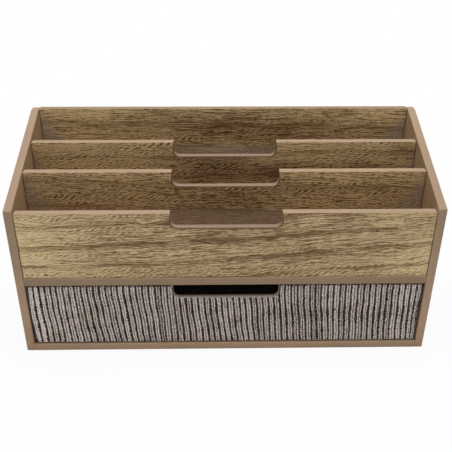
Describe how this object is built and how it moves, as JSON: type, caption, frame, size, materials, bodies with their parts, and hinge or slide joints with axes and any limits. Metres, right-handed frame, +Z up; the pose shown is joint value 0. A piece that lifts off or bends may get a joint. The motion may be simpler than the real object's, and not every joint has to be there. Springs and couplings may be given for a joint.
{
  "type": "envelope sorter with drawer",
  "caption": "Desk organizer with upright letter compartments stepping up towards the back, finger notches in their boards, and a full-width ridged-front drawer sliding out below.",
  "frame": {"origin": "centre of the underside, on the surface the sorter stands on", "axes": "+X to the right seen from the front, +Y to the back, +Z up"},
  "size_m": [0.32, 0.1124, 0.167],
  "materials": {
    "oak_laminate": "satin oak-grain foil on fibreboard, bare tan board edges",
    "side_laminate": "satin oak-grain foil outside, plain brown face inside, bare tan board edges",
    "striped_facing": "matt brushed ridges, grey-beige, with near-black grooves",
    "drawer_board": "matt grey lining paper on fibreboard, bare tan board edges",
    "steel_brad": "bright drawn wire"
  },
  "bodies": {
    "case": {"left_side_panel": "side_laminate", "right_side_panel": "side_laminate", "bottom_board": "oak_laminate", "shelf_board": "oak_laminate", "back_panel": "oak_laminate", "front_panel": "oak_laminate", "middle_divider": "oak_laminate", "rear_divider": "oak_laminate", "left_side_brads": "steel_brad", "right_side_brads": "steel_brad", "back_panel_brads": "steel_brad", "shelf_brads": "steel_brad"},
    "drawer": {"drawer_front": "drawer_board", "drawer_front_facing": "striped_facing", "drawer_left_side": "drawer_board", "drawer_right_side": "drawer_board", "drawer_back": "drawer_board", "drawer_bottom": "drawer_board", "drawer_front_brads": "steel_brad", "drawer_back_brads": "steel_brad", "drawer_bottom_brads": "steel_brad"}
  },
  "joints": [
    {"name": "drawer_slide", "type": "slide", "parent": "case", "child": "drawer", "axis": [0, -1, 0], "range_m": [0, 0.085]}
  ]
}
